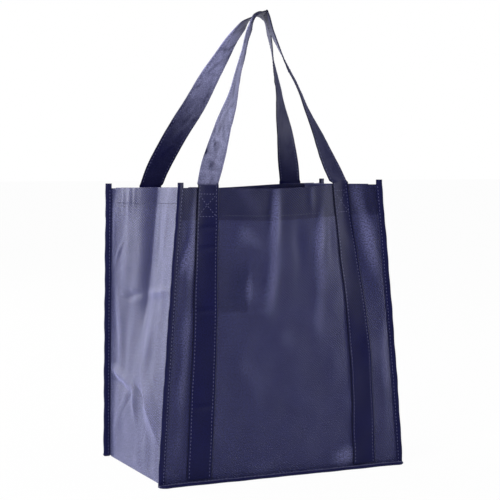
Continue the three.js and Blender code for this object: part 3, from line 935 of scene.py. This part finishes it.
def set_values(node, **values):
    """Gives the inputs of a node their values. A name's underscores are spaces in the input's."""
    for name, value in values.items():
        node.inputs[name.replace("_", " ")].default_value = value


def feed(tree, source, target):
    """Links a socket to an input, or gives the input a plain value."""
    if isinstance(source, bpy.types.NodeSocket):
        tree.links.new(source, target)
    else:
        target.default_value = source


def add_math(tree, operation, first, second):
    node = tree.nodes.new("ShaderNodeMath")
    node.operation = operation
    feed(tree, first, node.inputs[0])
    feed(tree, second, node.inputs[1])
    return node.outputs["Value"]


def add_range(tree, value, ends=(0, 1), results=(0, 1)):
    """Maps a value from a range between two ends to a range of results."""
    node = tree.nodes.new("ShaderNodeMapRange")
    set_values(node, From_Min=ends[0], From_Max=ends[1], To_Min=results[0], To_Max=results[1])
    tree.links.new(value, node.inputs["Value"])
    return node.outputs["Result"]


def add_colour_mix(tree, share, first, second, blend="MIX"):
    node = tree.nodes.new("ShaderNodeMix")
    node.data_type = "RGBA"
    node.blend_type = blend
    for source, name in ((share, "Factor"), (first, "A"), (second, "B")):
        feed(tree, source, node.inputs[name])
    return node.outputs["Result"]


def add_mask(tree, name):
    node = tree.nodes.new("ShaderNodeAttribute")
    node.attribute_name = name
    return node.outputs["Fac"]


def build_grain_group():
    """Embossed points of non-woven cloth, its fibres and its slow changes of tone."""
    group = bpy.data.node_groups.new("NonWovenGrain", "ShaderNodeTree")
    group.interface.new_socket("Points per Metre", in_out="INPUT", socket_type="NodeSocketFloat")
    for name in ("Height", "Fibres", "Mottle"):
        group.interface.new_socket(name, in_out="OUTPUT", socket_type="NodeSocketFloat")
    nodes, links = group.nodes, group.links
    entry = nodes.new("NodeGroupInput")
    leave = nodes.new("NodeGroupOutput")
    cloth = nodes.new("ShaderNodeUVMap")
    cloth.uv_map = "Cloth"
    turned = nodes.new("ShaderNodeMapping")
    turned.inputs["Rotation"].default_value[2] = POINT_ROWS_TURN
    links.new(cloth.outputs["UV"], turned.inputs["Vector"])
    scale = add_math(group, "MULTIPLY", entry.outputs["Points per Metre"], WAVE_SCALE_PER_BAND)
    waves = []
    for direction in ("X", "Y"):
        wave = nodes.new("ShaderNodeTexWave")
        wave.bands_direction = direction
        set_values(wave, Distortion=0.6, Detail=0)
        links.new(turned.outputs["Vector"], wave.inputs["Vector"])
        links.new(scale, wave.inputs["Scale"])
        waves.append(wave.outputs["Fac"])
    noises = []
    for noise_scale in (FIBRE_SCALE, MOTTLE_SCALE):
        noise = nodes.new("ShaderNodeTexNoise")
        set_values(noise, Scale=noise_scale, Detail=4)
        links.new(cloth.outputs["UV"], noise.inputs["Vector"])
        noises.append(noise.outputs["Fac"])
    points = add_math(group, "MULTIPLY", *waves)
    links.new(add_math(group, "ADD", points, noises[0]), leave.inputs["Height"])
    links.new(noises[0], leave.inputs["Fibres"])
    links.new(noises[1], leave.inputs["Mottle"])
    return group


POINTS_PER_METRE = 430
POINT_ROWS_TURN = math.radians(38)
WAVE_SCALE_PER_BAND = math.tau / 20
FIBRE_SCALE = 620
MOTTLE_SCALE = 28
GRAIN = build_grain_group()


def srgb(text):
    """A colour from its six hexadecimal digits, in linear light and opaque."""
    parts = [int(text[k:k + 2], 16) / 255 for k in (1, 3, 5)]
    linear = [part / 12.92 if part <= 0.04045 else ((part + 0.055) / 1.055) ** 2.4 for part in parts]
    return (*linear, 1)


def build_cloth(name, colours, roughness, sheen, specular, fibrous, depth):
    """Non-woven cloth, with colours for plain and mottled cloth, for hems and painted shade, and for a
    painted highlight.
    """
    colour, shade, darker_and_shade_colour, highlight_colour = (srgb(each) for each in colours)
    material, tree, shader = new_material(name)
    set_values(shader, Sheen_Roughness=0.35, Specular_IOR_Level=specular, IOR=1.5)
    set_values(shader, Sheen_Tint=(0.58, 0.6, 1.0, 1), Specular_Tint=(0.68, 0.7, 1.0, 1))
    grain = tree.nodes.new("ShaderNodeGroup")
    grain.node_tree = GRAIN
    set_values(grain, Points_per_Metre=POINTS_PER_METRE)
    fibres = grain.outputs["Fibres"]
    darker_and_shade = add_mask(tree, "DarkerAndShade")
    tone = add_range(tree, grain.outputs["Mottle"], (0.3, 0.65))
    plain = add_colour_mix(tree, tone, shade, colour)
    # Darker colour for hems and the darker patch, and painted shade along strap edges
    darkened = add_colour_mix(tree, darker_and_shade, plain, darker_and_shade_colour)
    # A painted highlight colour, mixed in where its mask is set
    highlighted = add_colour_mix(tree, add_mask(tree, "Highlight"), darkened, highlight_colour)
    speckle = add_range(tree, fibres, (0.35, 0.65), (0.3, 1.7))
    base_colour = add_colour_mix(tree, fibrous, highlighted, speckle, "MULTIPLY")
    tree.links.new(base_colour, shader.inputs["Base Color"])
    gloss = add_range(tree, fibres, (0.3, 0.7), (roughness - 0.12, roughness + 0.12))
    tree.links.new(gloss, shader.inputs["Roughness"])
    fuzz = add_range(tree, fibres, (0.35, 0.65), (sheen * 0.4, sheen * 1.6))
    dulled = add_range(tree, darker_and_shade, (0, 1), (1, 0.4))
    tree.links.new(add_math(tree, "MULTIPLY", fuzz, dulled), shader.inputs["Sheen Weight"])
    bump = tree.nodes.new("ShaderNodeBump")
    set_values(bump, Strength=depth, Distance=0.0004)
    tree.links.new(grain.outputs["Height"], bump.inputs["Height"])
    tree.links.new(bump.outputs["Normal"], shader.inputs["Normal"])
    return material


def build_bag_cloth():
    """The embossed cloth of the panels and the gussets."""
    # Colours of plain and mottled cloth, of hems and the darker patch, and of the painted highlight on folds
    colours = ["#22234f", "#1b1c47", "#090a38", "#52537c"]
    looks = {"roughness": 0.46, "sheen": 0.9, "specular": 0.5, "fibrous": 1, "depth": 1}
    return build_cloth("bag_cloth", colours, **looks)


def build_tape_cloth():
    """The smoother and darker cloth of the straps and the bindings."""
    # Colours of plain and mottled tape, of the painted shade along strap edges, and of the painted highlight
    # on the handle loops
    colours = ["#0f103e", "#0b0c35", "#07081d", "#a2a3cb"]
    looks = {"roughness": 0.45, "sheen": 0.3, "specular": 0.2, "fibrous": 0.45, "depth": 0.3}
    return build_cloth("tape_cloth", colours, **looks)


def build_thread(name, colour):
    """Twisted sewing thread, a little glossier than the cloth."""
    material, _, shader = new_material(name)
    set_values(shader, Base_Color=srgb(colour), Roughness=0.38)
    return material


def build_board():
    """A stiff plastic sheet with a fine matt grain."""
    material, tree, shader = new_material("board")
    set_values(shader, Base_Color=srgb("#24242c"))
    place = tree.nodes.new("ShaderNodeTexCoord")
    noise = tree.nodes.new("ShaderNodeTexNoise")
    set_values(noise, Scale=600)
    tree.links.new(place.outputs["Object"], noise.inputs["Vector"])
    gloss = add_range(tree, noise.outputs["Fac"], (0, 1), (0.6, 0.85))
    tree.links.new(gloss, shader.inputs["Roughness"])
    return material


bag_cloth = build_bag_cloth()
tape_cloth = build_tape_cloth()
# The strap thread's colour is lighter than its navy: a painted sheen on the thread
strap_thread = build_thread("strap_thread", "#4f507b")
hem_thread = build_thread("hem_thread", "#2c2d55")
board = build_board()


# Camera


def build_camera():
    """The photo's camera, in front of the bag and round to its left."""
    data = bpy.data.cameras.new("camera")
    data.sensor_width = 36
    data.lens = 100.3
    data.clip_start = 0.05
    data.clip_end = 50
    camera = bpy.data.objects.new("camera", data)
    camera.location = (-0.721, -1.570, 0.368)
    camera.rotation_euler = (math.radians(90 - 3.47), 0, math.radians(-24.62))
    bpy.context.scene.collection.objects.link(camera)
    bpy.context.scene.camera = camera


build_camera()


# The bag's pieces


def add_stitches(name, lines, material):
    piece = stitches(name, lines, material)
    return piece


def strap_half_share(panel, half_width):
    """Half the width of something on a strap, as a share across its panel near the mouth."""
    return half_width / panel_width(panel, 0.95)


def between_straps(line, normals, panel):
    """The stretches of a line across a panel that its straps leave bare."""
    share = np.linspace(0, 1, len(line))
    clear = 0.035
    half = strap_half_share(panel, 0.54 * STRAP_WIDTH)
    edges = [clear]
    for strap in STRAP_SHARES:
        edges += [strap - half, strap + half]
    edges.append(1 - clear)
    stretches = []
    for start, end in zip(edges[::2], edges[1::2]):
        bare = (share > start) & (share < end)
        stretches.append((line[bare], normals[bare]))
    return stretches


def build_panel(name, panel):
    """A panel and the stitches of its hem."""
    sheet, darker_and_shade, highlight = panel_sheet(panel)
    piece = sheet_piece(name, sheet, bag_cloth, darker_and_shade, highlight)
    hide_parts(name.replace("_cloth", ""))
    outside = "top" if panel["face"] < 0 else "bottom"
    row = 2 + int(np.searchsorted(rises_of(PANEL_HEM), 1 - (PANEL_HEM - PANEL_HEM_STITCH) / BAG_HEIGHT))
    line, normals = sheet[outside][row, 2:-2], sheet["normal"][row, 2:-2] * -panel["face"]
    lines = between_straps(line, normals, panel)
    hem_stitches = add_stitches(name.replace("_cloth", "_hem_stitches"), lines, hem_thread)


def build_gusset_strip():
    """The strip of both gussets and the base, and the stitches of its two hems."""
    sheet, darker_and_shade, highlight = gusset_strip_sheet()
    piece = sheet_piece("gusset_strip_cloth", sheet, bag_cloth, darker_and_shade, highlight)
    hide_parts("gusset_strip")
    first = len(hem_rows(GUSSET_HEM)) + round((GUSSET_HEM - GUSSET_HEM_STITCH) / CELL)
    lines = []
    for row in (first, len(sheet["middle"]) - 1 - first):
        lines.append((sheet["top"][row, 5:-5], sheet["normal"][row, 5:-5]))
    hem_stitches = add_stitches("gusset_hem_stitches", lines, hem_thread)


def build_binding(name, panel):
    """The folded tape of one face, sewn through both of its sides."""
    sheet = binding_sheet(panel)
    piece = sheet_piece(name + "_tape", sheet, tape_cloth)
    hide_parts(name)
    rows = slice(2, -2)
    centre = sheet["middle"].mean(axis=1)[rows]
    top_is_outside = ((sheet["top"][rows, 2] - centre) * sheet["normal"][rows, 2]).sum() > 0
    face, sign = ("top", 1) if top_is_outside else ("bottom", -1)
    lines = [(sheet[face][rows, column], sheet["normal"][rows, column] * sign) for column in (2, -3)]
    sewn = add_stitches(name + "_stitches", lines, strap_thread)


def box_stitch_lines(panel, share):
    """The square with its two diagonals that fixes a strap at the mouth."""
    half = strap_half_share(panel, STRAP_WIDTH / 2 - BOX_STITCH_EDGE)
    low, high = 1 - BOX_STITCH_FOOT / BAG_HEIGHT, 1 - BOX_STITCH_TOP / BAG_HEIGHT
    lines = []
    for start_rise, end_rise in ((high, high), (low, low), (low, high), (high, low)):
        start, end = (-half, start_rise), (half, end_rise)
        line, normals = [], []
        for step in np.linspace(0, 1, BOX_STITCH_STEPS):
            across = np.array([share + lerp(start[0], end[0], step)])
            rise = lerp(start[1], end[1], step)
            near, far = (beside(panel_point, panel, across, rise, out)[0] for out in (0, BOX_STITCH_OFFSET))
            line.append(far)
            normals.append(unit(far - near))
        lines.append((np.array(line), np.array(normals)))
    return lines


def build_handle(name, panel, loop):
    """A strap, its two rows of stitches and the crossed squares at the mouth."""
    sheet, highlighted, sewn_count = handle_sheet(panel, loop)
    # A painted shade along both edges of the strap: darker colour and less sheen
    edges = (np.abs(STRAP_ACROSS) > STRAP_WIDTH / 2 - STRAP_EDGE_SHADE).astype(float)
    piece = sheet_piece(name + "_strap", sheet, tape_cloth, edges, highlighted)
    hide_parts(name)
    lines = strap_stitch_lines(sheet, panel, sewn_count)
    for share in STRAP_SHARES:
        lines += box_stitch_lines(panel, share)
    sewn = add_stitches(name + "_stitches", lines, strap_thread)


build_panel("front_panel_cloth", FRONT)
build_panel("back_panel_cloth", BACK)
build_gusset_strip()
build_binding("front_binding", FRONT)
build_binding("back_binding", BACK)
build_handle("front_handle", FRONT, FRONT_LOOP)
build_handle("back_handle", BACK, BACK_LOOP)

board_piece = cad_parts["base_board"]
for slot in board_piece.material_slots:
    slot.material = board


# Floor, backdrop and light


def sees_backdrop(tree):
    """A socket that is 1 for rays from the camera and through gloss or glass."""
    path = tree.nodes.new("ShaderNodeLightPath")
    shown = path.outputs["Is Camera Ray"]
    for ray in ("Is Glossy Ray", "Is Transmission Ray"):
        shown = add_math(tree, "MAXIMUM", shown, path.outputs[ray])
    return shown


def add_shader_mix(tree, share, first, second, output):
    """Shows a mix of two shaders at the surface."""
    mix = tree.nodes.new("ShaderNodeMixShader")
    for source, target in zip((share, first, second), mix.inputs):
        tree.links.new(source, target)
    tree.links.new(mix.outputs["Shader"], tree.nodes[output].inputs["Surface"])


def build_floor():
    """A white floor that keeps a faint shadow of the bag."""
    mesh = bpy.data.meshes.new("floor")
    reach = 30
    corners = [(-1, -1), (1, -1), (1, 1), (-1, 1)]
    mesh.from_pydata([(x * reach, y * reach, 0) for x, y in corners], [], [(0, 1, 2, 3)])
    floor = bpy.data.objects.new("floor", mesh)
    bpy.context.scene.collection.objects.link(floor)
    floor.location.z = -0.0002
    material, tree, shader = new_material("floor")
    set_values(shader, Base_Color=(0.9, 0.9, 0.9, 1), Roughness=0.9)
    white = tree.nodes.new("ShaderNodeEmission")
    set_values(white, Strength=1)
    seen = add_math(tree, "MULTIPLY", sees_backdrop(tree), 0.97)
    add_shader_mix(tree, seen, shader.outputs["BSDF"], white.outputs["Emission"], "Material Output")
    mesh.materials.append(material)


def build_world():
    """A white sweep behind the bag and a dim room in front of it. The camera sees white all round."""
    world = bpy.data.worlds.new("studio")
    world.use_nodes = True
    bpy.context.scene.world = world
    tree = world.node_tree
    room = tree.nodes["Background"]
    place = tree.nodes.new("ShaderNodeTexCoord")
    toward = tree.nodes.new("ShaderNodeVectorMath")
    toward.operation = "DOT_PRODUCT"
    toward.inputs[1].default_value = (-0.6, 0.8, 0)
    tree.links.new(place.outputs["Generated"], toward.inputs[0])
    sweep = add_range(tree, toward.outputs["Value"], (0.45, 0.93), (0.08, 1))
    sweep.node.interpolation_type = "SMOOTHSTEP"
    level = add_range(tree, sweep, (0, 1), (0.28, 0.8))
    tree.links.new(level, room.inputs["Color"])
    path = tree.nodes.new("ShaderNodeLightPath")
    backdrop = tree.nodes.new("ShaderNodeBackground")
    white = add_math(tree, "MAXIMUM", path.outputs["Is Camera Ray"], sweep)
    tree.links.new(white, backdrop.inputs["Color"])
    seen = sees_backdrop(tree)
    add_shader_mix(tree, seen, room.outputs["Background"], backdrop.outputs["Background"], "World Output")


def add_softbox(name, place, target, size, power):
    """A soft area light at a place, aimed at a target."""
    data = bpy.data.lights.new(name, "AREA")
    data.shape = "RECTANGLE"
    data.size, data.size_y = size
    data.energy = power
    light = bpy.data.objects.new(name, data)
    light.location = place
    away = np.subtract(place, target)
    flat = math.hypot(away[0], away[1])
    light.rotation_euler = (math.atan2(flat, away[2]), 0, math.atan2(away[1], away[0]) + math.pi / 2)
    light.visible_camera = False
    bpy.context.scene.collection.objects.link(light)


build_floor()
build_world()
add_softbox("key_light", (-1.9, -1.3, 1.5), (0, 0, 0.2), (0.9, 1.2), 40)
add_softbox("back_light", (-1.7, 2.2, 0.95), (0, 0, 0.25), (2.2, 1.7), 72)
add_softbox("side_light", (1.5, -0.4, 0.45), (-0.05, -0.05, 0.45), (0.35, 0.45), 7)
add_softbox("fill_light", (0.6, -2.6, 1.5), (0, 0, 0.25), (1.6, 1.6), 3)

scene = bpy.context.scene
scene.view_settings.view_transform = "Standard"
